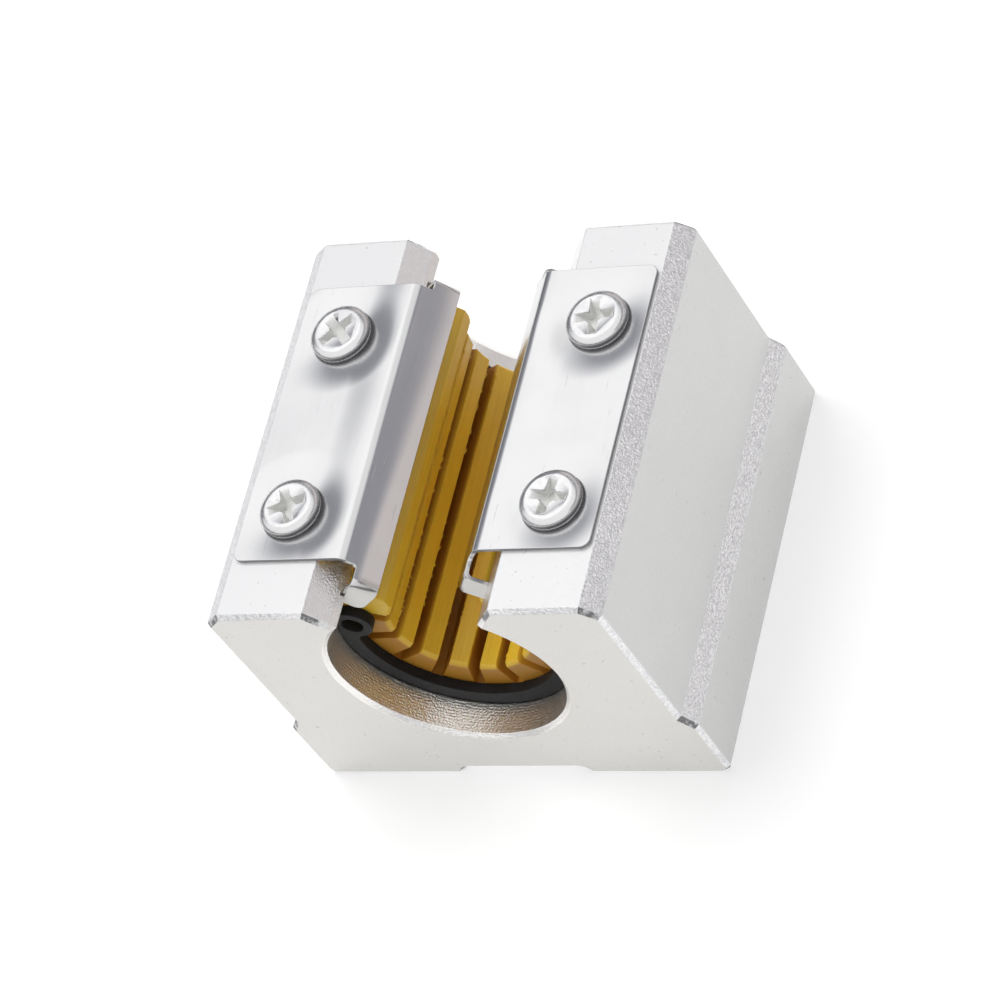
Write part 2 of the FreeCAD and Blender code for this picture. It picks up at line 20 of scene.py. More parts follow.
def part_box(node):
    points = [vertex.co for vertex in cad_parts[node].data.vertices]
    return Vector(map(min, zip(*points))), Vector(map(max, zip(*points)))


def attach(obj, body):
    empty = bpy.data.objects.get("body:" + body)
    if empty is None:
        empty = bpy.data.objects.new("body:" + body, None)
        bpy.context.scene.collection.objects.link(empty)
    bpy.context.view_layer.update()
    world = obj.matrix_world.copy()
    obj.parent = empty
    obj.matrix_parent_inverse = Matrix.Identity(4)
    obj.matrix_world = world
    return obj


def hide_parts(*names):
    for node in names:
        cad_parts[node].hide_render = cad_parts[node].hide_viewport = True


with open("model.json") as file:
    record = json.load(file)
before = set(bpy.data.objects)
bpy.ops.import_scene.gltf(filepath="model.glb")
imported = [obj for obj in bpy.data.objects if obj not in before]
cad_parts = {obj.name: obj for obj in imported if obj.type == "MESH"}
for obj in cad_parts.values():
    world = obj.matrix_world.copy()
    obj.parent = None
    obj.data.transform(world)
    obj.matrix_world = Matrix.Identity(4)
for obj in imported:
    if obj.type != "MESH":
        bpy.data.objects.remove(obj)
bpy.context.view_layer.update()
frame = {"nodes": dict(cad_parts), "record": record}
MM = 0.001
print("nodes:", sorted(frame["nodes"]))

# %% [markdown]
# ## Places that the finishes need
#
# A finish changes where the making of the piece changed: milled ends, a turned bore, a recess
# pressed into a screw. Those places are read from the boxes of the pieces, so that they follow
# the drawing.

# %% Places read from the boxes
block_low, block_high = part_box("housing")
liner_low, liner_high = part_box("polymer_liner")
screw_low, screw_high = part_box("screw_right_rear")
HALF_LENGTH = block_high.y
FLOOR_LEVEL = block_low.z
BORE_RADIUS = -liner_low.z
SCREW_X = (screw_low.x + screw_high.x) / 2
SCREW_Y = (screw_low.y + screw_high.y) / 2
SCREW_TOP = screw_high.z
HEAD_RADIUS = (screw_high.x - screw_low.x) / 2
print("half length", HALF_LENGTH, "bore radius", BORE_RADIUS, "screws at", SCREW_X, SCREW_Y)

# %% [markdown]
# ## Nodes and links
#
# Every finish is a small tree of nodes. Written out in full, such trees are long and hard to
# read, so a few helpers add a node, set or link its inputs, and give back the node.

# %% Start a finish and add nodes to it
def new_finish(name):
    """An empty material, its node tree, and its output node."""
    material = bpy.data.materials.new(name)
    material.use_nodes = True
    tree = material.node_tree
    tree.nodes.clear()
    return material, tree, tree.nodes.new("ShaderNodeOutputMaterial")


def fill(tree, socket, value):
    """Links another node's socket, or sets a plain value."""
    if isinstance(value, bpy.types.NodeSocket):
        tree.links.new(value, socket)
    else:
        socket.default_value = value


def add(tree, kind, inputs=None, **settings):
    """Adds a node with its settings and inputs."""
    made = tree.nodes.new(kind)
    for name, value in settings.items():
        setattr(made, name, value)
    for name, value in (inputs or {}).items():
        fill(tree, made.inputs[name], value)
    return made


print("made the helpers new_finish, fill and add")

# %% [markdown]
# ## Arithmetic on shares
#
# A finish is chosen by shares: numbers from 0 to 1 that say how much a spot is an end face, an
# edge or a pit. Shares are faded in, multiplied and turned round, and at the end they blend two
# colours or two kinds of roughness.

# %% Sums, products, fades and blends
def sums(tree, operation, first, second=0.0):
    """One step of arithmetic on sockets or numbers."""
    return add(tree, "ShaderNodeMath", {0: first, 1: second}, operation=operation).outputs[0]


def product(tree, *shares):
    total = shares[0]
    for share in shares[1:]:
        total = sums(tree, "MULTIPLY", total, share)
    return total


def opposite(tree, share):
    return sums(tree, "SUBTRACT", 1.0, share)


def fade(tree, value, start, end, low=0.0, high=1.0):
    """Runs smoothly from low to high while value goes from start to end."""
    made = add(tree, "ShaderNodeMapRange", {
        "Value": value, "From Min": start, "From Max": end, "To Min": low, "To Max": high,
    }, interpolation_type="SMOOTHSTEP")
    return made.outputs["Result"]


def blend_colours(tree, share, first, second):
    """The first colour where the share is 0, the second where it is 1."""
    made = add(tree, "ShaderNodeMix", data_type="RGBA")
    for place, value in ((0, share), (6, first), (7, second)):
        fill(tree, made.inputs[place], value)
    return made.outputs[2]


def lay_over(tree, colour, marks):
    """Lays marks over a colour in turn. Each is a share, how strong it gets, and its colour."""
    for share, strength, mark in marks:
        colour = blend_colours(tree, product(tree, share, strength), colour, mark)
    return colour


print("made the helpers sums, product, opposite, fade, blend_colours and lay_over")

# %% [markdown]
# ## Where a spot is, and which way it looks
#
# Object coordinates are the piece's own metres, so a pattern stays on the piece when it turns.
# The block is much the same left and right and at both ends. So a finish mostly drops the signs
# of a place or of a direction, and one rule serves both sides.

# %% Coordinates and distances
def object_coordinates(tree, stretch=(1, 1, 1)):
    """Coordinates of the piece in metres, stretched per direction if asked."""
    place = add(tree, "ShaderNodeTexCoord").outputs["Object"]
    if tuple(stretch) == (1, 1, 1):
        return place
    return add(tree, "ShaderNodeMapping", {"Vector": place, "Scale": stretch}).outputs[0]


def axes_of(tree, vector):
    """A vector's three parts."""
    return add(tree, "ShaderNodeSeparateXYZ", {0: vector}).outputs


def absolute_axes(tree, vector):
    """The sizes of a vector's three parts, without their signs."""
    plain = add(tree, "ShaderNodeVectorMath", {0: vector}, operation="ABSOLUTE")
    return axes_of(tree, plain.outputs[0])


def length_of(tree, vector, kept_axes):
    """Length of a vector, counting only the axes that are marked 1."""
    kept = add(tree, "ShaderNodeVectorMath", {0: vector, 1: kept_axes}, operation="MULTIPLY")
    length = add(tree, "ShaderNodeVectorMath", {0: kept.outputs[0]}, operation="LENGTH")
    return length.outputs["Value"]


def distance_from_bore_axis(tree, place):
    return length_of(tree, place, (1, 0, 1))


print("made the helpers object_coordinates, axes_of, absolute_axes, length_of and "
      "distance_from_bore_axis")

# %% [markdown]
# ## Patterns, relief and edges
#
# Noise gives clouds, grit and streaks. Relief turns such a pattern into bump of a stated depth.
# Cycles can also ask how a rounded edge would look: where that rounded normal leans away from
# the true one there is an edge, and dirt, wear and nicks gather there.

# %% Noise, bump and an edge mask
EDGE_SAMPLES = 6
EDGE_STARTS = 0.995            # cosine of the rounded normal's lean where an edge starts to count
EDGE_FULL = 0.80               # and where it counts in full


def noise(tree, size, place, detail=2.0):
    """Noise whose blotches are about size metres across. Gives its value, from 0 to 1."""
    made = add(tree, "ShaderNodeTexNoise", {
        "Vector": place, "Scale": 1.0 / size, "Detail": detail, "Roughness": 0.5,
    })
    return made.outputs[0]


def relief(tree, height, depth, strength, normal=None):
    """Bump of that depth in metres, on top of another normal if one is given."""
    inputs = {"Height": height, "Distance": depth, "Strength": strength}
    if normal is not None:
        inputs["Normal"] = normal
    return add(tree, "ShaderNodeBump", inputs).outputs[0]


def soft_edges(tree, radius):
    """Normal of the surface as if every edge had a small round of that radius."""
    return add(tree, "ShaderNodeBevel", {"Radius": radius}, samples=EDGE_SAMPLES).outputs[0]


def edge_mask(tree, radius):
    """0 on flats, up to 1 at edges, from how far a rounded normal leans from the true one."""
    true_normal = add(tree, "ShaderNodeNewGeometry").outputs["Normal"]
    lean = add(tree, "ShaderNodeVectorMath", {
        0: true_normal, 1: soft_edges(tree, radius),
    }, operation="DOT_PRODUCT")
    return fade(tree, lean.outputs["Value"], EDGE_STARTS, EDGE_FULL)


def finish_with(material, tree, out, shader_inputs):
    """Ends a finish with one principled shader."""
    shader = add(tree, "ShaderNodeBsdfPrincipled", shader_inputs)
    tree.links.new(shader.outputs[0], out.inputs[0])
    print(material.name, "has", len(tree.nodes), "nodes")
    return material


print("an edge starts to count at a lean of",
      round(math.degrees(math.acos(EDGE_STARTS)), 1), "degrees")

# %% [markdown]
# ## The housing: which face was made how
#
# The real block is cut from an extruded bar, blasted, and anodised without colour. The sloped
# faces keep the grain of the blasting, which glints spot by spot. The ends were milled and are
# smooth and slightly warm, and the side walls are plain and grey. The tops are painted almost
# white, a lit copy of the walls' grey: painted light from above.
# The bore's mouth was turned. Unwrapping the block to paint all this would put seams across
# the ends, so one metal finish chooses by the direction that each face looks in, in the
# piece's own axes, and by the distance from the bore.

# %% Regions of the housing
END_FACING = (0.93, 0.99)      # how squarely a face looks along the block to count as an end
PLAIN_FACING = (0.95, 0.99)    # and how squarely sideways or up, to count as a wall or a top
MOUTH_OUTSIDE = BORE_RADIUS + 0.9 * MM     # the turned mouth ends here
MOUTH_INSIDE = BORE_RADIUS + 0.7 * MM      # and is fully there from here inwards
RIM_OUTSIDE = BORE_RADIUS + 1.8 * MM       # the rim of the mouth, as seen on the ends
RIM_INSIDE = BORE_RADIUS + 1.4 * MM
SLOT_OUTSIDE = 0.6 * block_high.x          # slopes inside this start to count as slot walls
SLOT_INSIDE = 0.5 * block_high.x           # and inside this they count in full


def housing_regions(tree, coordinates):
    """Shares that tell, for each spot, how that face of the block was made."""
    place = coordinates["Object"]
    side_on, end_on, top_on = absolute_axes(tree, coordinates["Normal"])
    across = absolute_axes(tree, place)[0]
    from_axis = distance_from_bore_axis(tree, place)
    shares = {
        "end": fade(tree, end_on, *END_FACING),
        "top": fade(tree, top_on, *PLAIN_FACING),
        "rim": fade(tree, from_axis, RIM_OUTSIDE, RIM_INSIDE),
    }
    off_end = opposite(tree, shares["end"])
    off_rim = opposite(tree, shares["rim"])
    shares["off_rim"] = off_rim
    shares["bore"] = product(tree, fade(tree, from_axis, MOUTH_OUTSIDE, MOUTH_INSIDE), off_end)
    shares["slope"] = product(tree, off_end, opposite(tree, fade(tree, side_on, *PLAIN_FACING)),
                              opposite(tree, shares["top"]), opposite(tree, shares["bore"]))
    shares["slot"] = product(tree, shares["slope"], fade(tree, across, SLOT_OUTSIDE, SLOT_INSIDE))
    shares["corner"] = product(tree, fade(tree, end_on, 0.30, 0.50), fade(tree, side_on, 0.15, 0.35),
                               fade(tree, top_on, 0.15, 0.35), off_end, off_rim)
    return shares


print("slot walls lie within", round(SLOT_OUTSIDE / MM, 1), "mm of the middle")

# %% [markdown]
# ## The housing: colour and wear
#
# Each region has two greys with a pattern between them: single grains on the slopes, clouds on
# the milled and plain faces, grit on the tops. Wear lies over them: pits everywhere but in the
# bore, specks along the edges, chips at the corners of the ends, and nicks round the rim of the
# bore.

# %% Colour of the housing
GRAIN = 0.20 * MM
SLOPE_GREYS = ((0.77, 0.77, 0.79, 1), (0.99, 0.99, 1.0, 1))
MILLED_GREYS = ((0.735, 0.722, 0.695, 1), (0.765, 0.752, 0.727, 1))
WALL_GREYS = ((0.67, 0.67, 0.665, 1), (0.70, 0.70, 0.695, 1))
# painted light: the tops are a near-white, lit copy of the walls' grey
LIT_TOP_GREYS = ((0.94, 0.94, 0.942, 1), (0.985, 0.985, 0.987, 1))
SLOT_WHITE = (1.0, 1.0, 1.0, 1)
# partly painted highlight: the turned bore's bright metal, raised near white for the light in its
# mouth
TURNED_GREY_AND_HIGHLIGHT = (0.97, 0.955, 0.93, 1)
PIT = (0.30, 0.29, 0.28, 1)
SPECK = (0.14, 0.14, 0.15, 1)
CHIP = (0.12, 0.12, 0.125, 1)
NICK = (0.30, 0.30, 0.31, 1)
WORN_EDGE = 0.22 * MM


def grained_greys(tree, place, shares, grit):
    """The clean colour of every region."""
    cells = add(tree, "ShaderNodeTexVoronoi", {"Vector": place, "Scale": 1.0 / GRAIN})
    grain = add(tree, "ShaderNodeSeparateColor", {0: cells.outputs["Color"]}).outputs[0]
    cloud = noise(tree, 5 * MM, place, detail=3.0)
    colour = blend_colours(tree, shares["slope"], blend_colours(tree, cloud, *WALL_GREYS),
                           blend_colours(tree, grain, *SLOPE_GREYS))
    colour = blend_colours(tree, product(tree, shares["slot"], 0.8), colour, SLOT_WHITE)
    colour = blend_colours(tree, shares["end"], colour, blend_colours(tree, cloud, *MILLED_GREYS))
    # painted light: the tops get their lit, near-white copy of the grey
    colour = blend_colours(tree, shares["top"], colour, blend_colours(tree, grit, *LIT_TOP_GREYS))
    # partly painted highlight: the bore is painted near white
    return blend_colours(tree, shares["bore"], colour, TURNED_GREY_AND_HIGHLIGHT)


def worn(tree, place, shares, colour):
    """Lays pits, specks, chips and nicks over a clean colour."""
    at_edge = edge_mask(tree, WORN_EDGE)
    pits = fade(tree, noise(tree, 0.45 * MM, place, detail=1.0), 0.745, 0.765)
    specks = product(tree, at_edge, shares["off_rim"],
                     fade(tree, noise(tree, 0.22 * MM, place), 0.58, 0.66))
    chips = product(tree, shares["corner"],
                    fade(tree, noise(tree, 0.5 * MM, place), 0.36, 0.56, 0.35, 1.0))
    nicks = product(tree, at_edge, shares["rim"],
                    fade(tree, noise(tree, 2.4 * MM, place), 0.52, 0.60))
    pits = product(tree, pits, opposite(tree, shares["bore"]))
    return lay_over(tree, colour, (
        (pits, 0.30, PIT), (specks, 0.42, SPECK), (chips, 0.85, CHIP), (nicks, 0.65, NICK),
    ))


print("blasted grain is", round(GRAIN / MM, 2), "mm across")

# %% [markdown]
# ## The housing: roughness and relief
#
# Blasted faces glint because every spot leans its own way, so the slopes get deep fine relief
# and the plain faces hardly any. The bore has shallow turned rings besides. The edges that the
# drawing left sharp are rounded in the normal only, because its mesh stays as it was drawn.

# %% Relief of the housing, and its finish
FACET_SIZE = 0.19 * MM
PLAIN_RELIEF = 0.12
BLASTED_RELIEF = 5.0
TURNED_RELIEF = 2.0
SLOT_SHARE = 0.35              # the walls of the slot keep this much of their relief
TURNED_WAVE = 0.9 * MM         # a wave repeats every 0.314 of this: rings 0.28 mm apart
RELIEF_DEPTH = 0.030 * MM
HOUSING_ROUND = 0.14 * MM


def housing_relief(tree, place, shares, grit):
    facets = noise(tree, FACET_SIZE, place, detail=1.0)
    rings = add(tree, "ShaderNodeTexWave", {
        "Vector": place, "Scale": 1.0 / TURNED_WAVE, "Distortion": 2.0, "Detail": 2.0,
    }, wave_type="BANDS", bands_direction="Y")
    machined = sums(tree, "MAXIMUM", shares["slot"], shares["bore"])
    strength = sums(tree, "ADD", fade(tree, shares["slope"], 0, 1, PLAIN_RELIEF, BLASTED_RELIEF),
                    fade(tree, machined, 0, 1, 0, TURNED_RELIEF))
    coarse = product(tree, facets, strength, fade(tree, shares["slot"], 0, 1, 1.0, SLOT_SHARE))
    turned = product(tree, rings.outputs["Fac"], shares["bore"], 0.25)
    height = sums(tree, "ADD", sums(tree, "ADD", coarse, turned), product(tree, grit, 0.20))
    return relief(tree, height, RELIEF_DEPTH, 0.8, soft_edges(tree, HOUSING_ROUND))


def finish_housing():
    material, tree, out = new_finish("anodised_aluminium")
    coordinates = add(tree, "ShaderNodeTexCoord").outputs
    place = coordinates["Object"]
    shares = housing_regions(tree, coordinates)
    grit = noise(tree, 0.30 * MM, place, detail=2.0)
    colour = worn(tree, place, shares, grained_greys(tree, place, shares, grit))
    rough = sums(tree, "ADD", fade(tree, shares["slope"], 0, 1, 0.50, 0.36),
                 fade(tree, grit, 0.3, 0.7, -0.05, 0.05))
    return finish_with(material, tree, out, {
        "Base Color": colour, "Metallic": 1.0,
        "Roughness": product(tree, rough, fade(tree, shares["bore"], 0, 1, 1.0, 0.72)),
        "Normal": housing_relief(tree, place, shares, grit),
    })


aluminium = finish_housing()

# %% [markdown]
# ## The liner's finish
#
# The liner is moulded from a dry-running polymer, ochre yellow all through. Light goes a little
# way into it, so thin edges glow orange. Subsurface scattering with a short reach gives that.
# The channels between the ribs are painted darker and redder: painted shade, since hardly any
# light gets down there. The long streaks are left by the rail, and the rubbed edges of the
# ribs are paler.

# %% Ochre polymer
shaft_bore = next(mount for mount in frame["record"]["mounts"] if mount["name"] == "shaft_bore")
RUNNING_RADIUS = shaft_bore["dims"]["r_mm"] * MM
CHANNEL_STARTS = RUNNING_RADIUS + 0.05 * MM
CHANNEL_FULL = RUNNING_RADIUS + 0.7 * MM
CHANNELS_END = 3.0 * MM        # nothing above this level counts, so the slot faces stay yellow
OCHRES = ((0.86, 0.56, 0.042, 1), (0.92, 0.63, 0.058, 1))
# painted shade: the colour that the channels get for the shade in them
CHANNEL_SHADE_BROWN = (0.46, 0.18, 0.022, 1)
STREAK = (0.62, 0.31, 0.016, 1)
RUBBED_OCHRE = (0.92, 0.66, 0.13, 1)
NICKED_OCHRE = (0.20, 0.09, 0.010, 1)


def liner_colour(tree, place, streaks):
    ticks = noise(tree, 0.30 * MM, object_coordinates(tree, (1, 0.45, 1)), detail=2.0)
    at_edge = edge_mask(tree, 0.16 * MM)
    level = axes_of(tree, place)[2]
    in_channel = product(tree, fade(tree, distance_from_bore_axis(tree, place),
                                    CHANNEL_STARTS, CHANNEL_FULL),
                         fade(tree, level, CHANNELS_END, CHANNELS_END - 1.0 * MM))
    rubbed = product(tree, at_edge, opposite(tree, in_channel),
                     fade(tree, ticks, 0.42, 0.58, 0.35, 1.0))
    nicked = product(tree, at_edge, fade(tree, ticks, 0.38, 0.32))
    colour = blend_colours(tree, noise(tree, 3 * MM, place, detail=3.0), *OCHRES)
    # painted shade: darker and redder the deeper a spot lies in a channel
    colour = blend_colours(tree, product(tree, in_channel, 0.85), colour, CHANNEL_SHADE_BROWN)
    colour = blend_colours(tree, fade(tree, streaks, 0.35, 0.70, 0.0, 0.18), colour, STREAK)
    colour = blend_colours(tree, product(tree, rubbed, 0.55), colour, RUBBED_OCHRE)
    return blend_colours(tree, product(tree, nicked, 0.50), colour, NICKED_OCHRE)


def finish_liner():
    material, tree, out = new_finish("liner_polymer")
    streaks = noise(tree, 0.22 * MM, object_coordinates(tree, (1, 0.03, 1)), detail=3.0)
    return finish_with(material, tree, out, {
        "Base Color": liner_colour(tree, object_coordinates(tree), streaks),
        "Roughness": fade(tree, streaks, 0.3, 0.7, 0.34, 0.50),
        "Normal": relief(tree, streaks, 0.014 * MM, 0.7), "IOR": 1.5,
        "Subsurface Weight": 0.30, "Subsurface Radius": (1.0, 0.45, 0.08),
        "Subsurface Scale": 0.6 * MM,
    })


polymer = finish_liner()

# %% [markdown]
# ## The rings' finish
#
# Spring steel blackened in a phosphate bath is a matt dark grey, with hardly any sheen and
# brighter rubbed edges. The crystals of the phosphate make it rough and finely mottled.

# %% Blackened spring steel
BLACKS = ((0.010, 0.010, 0.011, 1), (0.026, 0.026, 0.027, 1))
RUBBED_STEEL = (0.11, 0.11, 0.115, 1)


def finish_rings():
    material, tree, out = new_finish("blackened_steel")
    mottle = noise(tree, 0.3 * MM, object_coordinates(tree), detail=3.0)
    rubbed = product(tree, edge_mask(tree, 0.08 * MM), fade(tree, mottle, 0.45, 0.62))
    colour = blend_colours(tree, mottle, *BLACKS)
    return finish_with(material, tree, out, {
        "Base Color": lay_over(tree, colour, ((rubbed, 0.6, RUBBED_STEEL),)),
        "Roughness": fade(tree, mottle, 0.3, 0.7, 0.38, 0.52),
        "Normal": relief(tree, mottle, 0.01 * MM, 0.6), "Specular IOR Level": 0.12,
    })


black_steel = finish_rings()

# %% [markdown]
# ## The retainers: where the sheet bends
#
# Thin stainless sheet is never quite flat. The screws pull it down in shallow dishes, it rises a
# little towards its fold, and the press leaves it hollow below the fold. All of that bends what
# the sheet mirrors. The mesh could be shaped so, but it would need many more faces for a few
# tenths of a millimetre. So each bend is bump, laid over the one before.

# %% Bends of the sheet
SHEET_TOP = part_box("right_retainer")[1].z
SHEET_POINTS = [vertex.co for vertex in frame["nodes"]["right_retainer"].data.vertices]
FOLD_X = min(abs(point.x) for point in SHEET_POINTS if point.z > SHEET_TOP - 0.01 * MM)
DISH_WIDTH = 3.4 * MM          # a dish reaches this far out from the rim of the screw's head
DISH_DEPTH = 0.78 * MM         # from under the middle of the head to the edge of the dish
RISE_WIDTH = 3.6 * MM          # the flange rises towards the fold over this width
RISE_DEPTH = 0.16 * MM
HOLLOW_FRONT = 1.8 * MM        # the hollow below the fold reaches this far down at the front
HOLLOW_REAR = 3.4 * MM         # and this far at the rear
HOLLOW_DEPTH = 0.32 * MM
WAVE_DEPTH = 0.22 * MM


def distance_from_screw(tree, place):
    """How far a spot is from the upright axis of the nearest screw."""
    folded = add(tree, "ShaderNodeVectorMath", {0: place}, operation="ABSOLUTE").outputs[0]
    offset = add(tree, "ShaderNodeVectorMath", {
        0: folded, 1: (SCREW_X, SCREW_Y, 0),
    }, operation="SUBTRACT").outputs[0]
    return length_of(tree, offset, (1, 1, 0))


def bent_normal(tree, place):
    """The normal of the sheet with its waves, dishes, hollow and rise."""
    axes = axes_of(tree, place)
    along, level = axes[1], axes[2]
    across = absolute_axes(tree, place)[0]
    dished = fade(tree, distance_from_screw(tree, place),
                  HEAD_RADIUS - DISH_WIDTH, HEAD_RADIUS + DISH_WIDTH)
    foot = fade(tree, along, -HALF_LENGTH, HALF_LENGTH,
                SHEET_TOP - HOLLOW_FRONT, SHEET_TOP - HOLLOW_REAR)
    hollow = product(tree, fade(tree, level, foot, SHEET_TOP + 0.6 * MM), -1.0)
    rise = product(tree, fade(tree, across, FOLD_X + RISE_WIDTH, FOLD_X + 0.2 * MM),
                   fade(tree, along, -HALF_LENGTH, HALF_LENGTH, 0.75, 1.15))
    normal = relief(tree, noise(tree, 9 * MM, place, detail=0.0), WAVE_DEPTH, 0.5)
    for bend, depth in ((dished, DISH_DEPTH), (hollow, HOLLOW_DEPTH), (rise, RISE_DEPTH)):
        normal = relief(tree, bend, depth, 1.0, normal)
    return normal


print("the sheet's top is at", round(SHEET_TOP / MM, 2), "mm and its fold starts",
      round(FOLD_X / MM, 2), "mm from the middle")

# %% [markdown]
# ## The retainers: rolled surface
#
# The sheet comes from the mill with a bright rolled surface: a blurred mirror with faint lines
# along the rolling direction, and a few hair scratches from handling. Both are noise stretched
# a long way in one direction, so they need no picture. The cut edges are sheared, and painted
# dark grey as the shade on the sheet's thickness. The tabs over the ends of the liner are
# painted grey: painted shade in place of the darker reflection that they show.

# %% Rolled stainless sheet
TAB_START = liner_high.y       # the tabs stand past the ends of the liner
SHEET_GREYS = ((0.67, 0.67, 0.675, 1), (0.73, 0.73, 0.735, 1))
SCRATCH = (0.50, 0.50, 0.51, 1)
# painted shade on the cut edges of the sheet
SHADED_CUT_EDGE = (0.18, 0.18, 0.19, 1)
# painted shade on the tabs over the ends of the liner
TAB_SHADE_GREY = (0.50, 0.49, 0.47, 1)
LINE_DEPTH = 0.0006 * MM


def sheet_colour(tree, coordinates, scratch):
    place = coordinates["Object"]
    level = axes_of(tree, place)[2]
    out_along = absolute_axes(tree, place)[1]
    flat_on = absolute_axes(tree, coordinates["Normal"])[2]
    # painted shade: the narrow upright cut edges near the sheet's top are painted dark
    cut_edge_shade = product(tree, fade(tree, flat_on, 0.45, 0.25),
                      fade(tree, level, SHEET_TOP - 0.7 * MM, SHEET_TOP - 0.5 * MM))
    # painted shade: the tabs past the ends of the liner are painted grey
    on_tab = product(tree, fade(tree, out_along, TAB_START - 0.3 * MM, TAB_START + 0.2 * MM),
                     fade(tree, level, SHEET_TOP - 1.2 * MM, SHEET_TOP - 2.0 * MM))
    colour = blend_colours(tree, noise(tree, 4 * MM, place, detail=2.0), *SHEET_GREYS)
    return lay_over(tree, colour, (
        (scratch, 0.35, SCRATCH), (cut_edge_shade, 0.9, SHADED_CUT_EDGE), (on_tab, 0.8, TAB_SHADE_GREY),
    ))


def finish_retainers():
    material, tree, out = new_finish("rolled_stainless")
    coordinates = add(tree, "ShaderNodeTexCoord").outputs
    place = coordinates["Object"]
    rolled = noise(tree, 0.09 * MM, object_coordinates(tree, (1, 0.02, 1)), detail=2.0)
    crossing = add(tree, "ShaderNodeMapping", {
        "Vector": place, "Rotation": (0.2, 0.3, 0.9), "Scale": (1, 0.05, 1),
    }).outputs[0]
    scratch = fade(tree, noise(tree, 0.16 * MM, crossing, detail=0.0), 0.80, 0.84)
    lines = sums(tree, "SUBTRACT", product(tree, rolled, 0.25), scratch)
    return finish_with(material, tree, out, {
        "Base Color": sheet_colour(tree, coordinates, scratch), "Metallic": 1.0,
        "Roughness": sums(tree, "ADD", fade(tree, rolled, 0.3, 0.7, 0.17, 0.20),
                          product(tree, scratch, 0.10)),
        "Normal": relief(tree, lines, LINE_DEPTH, 0.5, bent_normal(tree, place)),
    })


stainless = finish_retainers()

# %% [markdown]
# ## The screws' finish
#
# The screws are zinc plated: bright, with soft pressing marks from the header. Plating hardly
# reaches into the cross recess, and dirt stays there, so it is rough and only partly metal. The
# foot of the head's flank is painted dark: painted shade, in place of the dark surroundings that
# it mirrors. The four screws stand at the same distances either side of the middle, so one
# distance from the nearest screw's axis finds the recess of them all.

# %% Bright zinc
RECESS_RADIUS = 2.1 * MM
ZINC_GREYS = ((0.74, 0.74, 0.745, 1), (0.82, 0.82, 0.825, 1))
RECESS_GREY = (0.80, 0.80, 0.78, 1)
# painted shade on the foot of each head's flank
FLANK_SHADE_GREY = (0.10, 0.10, 0.105, 1)
MARK_DEPTH = 0.010 * MM


def finish_screws():
    material, tree, out = new_finish("bright_zinc")
    coordinates = add(tree, "ShaderNodeTexCoord").outputs
    place = coordinates["Object"]
    level = axes_of(tree, place)[2]
    flat_on = absolute_axes(tree, coordinates["Normal"])[2]
    from_screw = distance_from_screw(tree, place)
    in_recess = product(tree, fade(tree, from_screw, RECESS_RADIUS, RECESS_RADIUS - 0.1 * MM),
                        fade(tree, level, SCREW_TOP - 0.12 * MM, SCREW_TOP - 0.40 * MM))
    # painted shade: the foot of the head's flank, low down and outside the recess
    on_flank = product(tree, fade(tree, flat_on, 0.5, 0.25), opposite(tree, in_recess),
                       fade(tree, level, SHEET_TOP + 0.55 * MM, SHEET_TOP + 0.25 * MM))
    marks = noise(tree, 0.5 * MM, place, detail=3.0)
    fine = noise(tree, 0.08 * MM, place, detail=1.0)
    height = sums(tree, "ADD", marks, product(tree, fine, 0.15))
    return finish_with(material, tree, out, {
        "Base Color": lay_over(tree, blend_colours(tree, marks, *ZINC_GREYS), (
            (in_recess, 0.8, RECESS_GREY), (on_flank, 0.95, FLANK_SHADE_GREY),
        )),
        "Metallic": fade(tree, in_recess, 0, 1, 1.0, 0.35),
        "Roughness": sums(tree, "ADD", fade(tree, marks, 0.3, 0.7, 0.18, 0.30),
                          product(tree, in_recess, 0.45)),
        "Normal": relief(tree, height, MARK_DEPTH, 0.5),
    })


zinc = finish_screws()

# %% [markdown]
# ## Put a finish on the housing
#
# The housing's drawn mesh already has the right shape, broken edges included. So it stays, and
# only gets its finish. The other pieces get theirs on the soft-edged copies that follow.

# %% Dress the housing
housing_mesh = frame["nodes"]["housing"].data
housing_mesh.materials.clear()
housing_mesh.materials.append(aluminium)
print("the housing wears", [material.name for material in housing_mesh.materials])

# %% [markdown]
# ## Whole faces and outward edges
#
# No real edge is perfectly sharp: a small round catches the light. A drawing leaves that out.
# Blender could fake it in the shader, but then the outline and the mesh stay sharp. So the mesh
# itself is bevelled. A drawn mesh is made of loose triangles, and a bevel needs whole faces. The
# triangles are welded, merged where they are flat, and rid of slivers, and then the edges that
# stick out are found. Inner corners stay crisp.

# %% Ready a drawn mesh for its rounds
FACET_ANGLE = math.radians(28)       # flatter joints are the facets of a curved face
FLAT_ANGLE = math.radians(0.5)       # triangles that lean less than this share one flat face
WELD = 0.0005 * MM
SLIVER = 0.015 * MM                  # drawn faces narrower than this are slivers


def whole_faces(node_name):
    """The drawn mesh as a bmesh, with its loose triangles merged into whole flat faces."""
    form = bmesh.new()
    form.from_mesh(frame["nodes"][node_name].data)
    bmesh.ops.remove_doubles(form, verts=form.verts, dist=WELD)
    bmesh.ops.dissolve_limit(form, angle_limit=FLAT_ANGLE, verts=form.verts, edges=form.edges)
    bmesh.ops.dissolve_degenerate(form, edges=form.edges, dist=SLIVER)
    return form


def outward_edges(form):
    """Edges that stick out and are sharper than the facets of a curved face."""
    return [edge for edge in form.edges
            if edge.is_manifold and edge.is_convex and edge.calc_face_angle(0) > FACET_ANGLE]


example = whole_faces("right_retainer")
print("right_retainer:", len(frame["nodes"]["right_retainer"].data.polygons), "triangles become",
      len(example.faces), "faces with", len(outward_edges(example)), "outward edges")
example.free()

